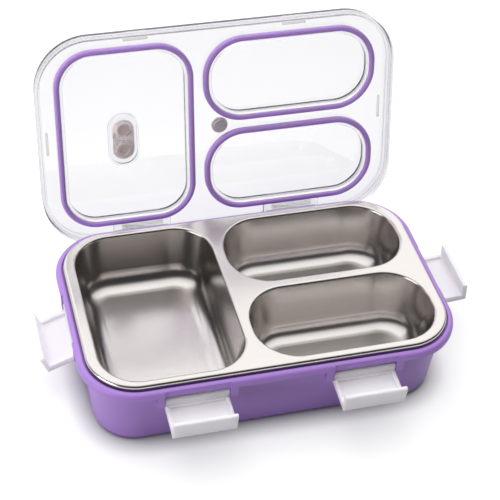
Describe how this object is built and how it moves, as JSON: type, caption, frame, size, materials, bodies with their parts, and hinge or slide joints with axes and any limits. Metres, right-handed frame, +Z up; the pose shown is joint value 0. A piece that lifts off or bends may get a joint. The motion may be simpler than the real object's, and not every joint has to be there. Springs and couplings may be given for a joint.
{
  "type": "bento lunch box",
  "caption": "Bento lunch box with a plastic shell, a pressed steel tray split into compartments, a clear sealing lid that stands open on rear clips, and fold-down latches.",
  "frame": {"origin": "on the table under the middle of the tray", "axes": "+X along the long side to the right, +Y towards the rear hinge, +Z up out of the tray"},
  "size_m": [0.2917, 0.2266, 0.1838],
  "materials": {
    "shell": "satin purple plastic",
    "tray": "satin stainless steel",
    "lid": "clear plastic",
    "seal": "satin purple silicone",
    "valve": "matte grey silicone",
    "plug": "matte grey silicone",
    "latch": "satin white plastic",
    "pin": "plain steel wire"
  },
  "bodies": {
    "base": {"outer_shell": "shell", "pin_front_left": "pin", "pin_front_right": "pin", "pin_left": "pin", "pin_right": "pin", "pin_rear_left": "pin", "pin_rear_right": "pin"},
    "tray": {"steel_tray": "tray"},
    "lid": {"lid_cover": "lid", "seal_large": "seal", "seal_front": "seal", "seal_rear": "seal", "valve_anchor": "valve", "clip_rear_left": "lid", "clip_rear_right": "lid"},
    "latch_front_left": {"latch_front_left": "latch"},
    "latch_front_right": {"latch_front_right": "latch"},
    "latch_left": {"latch_left": "latch"},
    "latch_right": {"latch_right": "latch"},
    "vent_flap": {"vent_flap": "valve"},
    "vent_plug": {"vent_plug": "plug"}
  },
  "joints": [
    {"name": "lid_hinge", "type": "hinge", "parent": "base", "child": "lid", "pos_m": [0, 0.072, 0.044], "axis": [-1, 0, 0], "range_deg": [-105, 0]},
    {"name": "latch_front_left_hinge", "type": "hinge", "parent": "base", "child": "latch_front_left", "pos_m": [-0.055, -0.072, 0.044], "axis": [1, 0, 0], "range_deg": [-95, 18]},
    {"name": "latch_front_right_hinge", "type": "hinge", "parent": "base", "child": "latch_front_right", "pos_m": [0.055, -0.072, 0.044], "axis": [1, 0, 0], "range_deg": [-95, 18]},
    {"name": "latch_left_hinge", "type": "hinge", "parent": "base", "child": "latch_left", "pos_m": [-0.1215, 0, 0.044], "axis": [0, -1, 0], "range_deg": [-113, 0]},
    {"name": "latch_right_hinge", "type": "hinge", "parent": "base", "child": "latch_right", "pos_m": [0.1215, 0, 0.044], "axis": [0, 1, 0], "range_deg": [-86, 27]},
    {"name": "tray_lift", "type": "slide", "parent": "base", "child": "tray", "axis": [0, 0, 1], "range_m": [0, 0.06]},
    {"name": "vent_flap_hinge", "type": "hinge", "parent": "lid", "child": "vent_flap", "pos_m": [-0.066, 0.10975, 0.10413], "axis": [-1, 0, 0], "range_deg": [0, 70]},
    {"name": "vent_plug_pull", "type": "slide", "parent": "lid", "child": "vent_plug", "axis": [0, 0.9659, -0.2588], "range_m": [0, 0.008]}
  ]
}
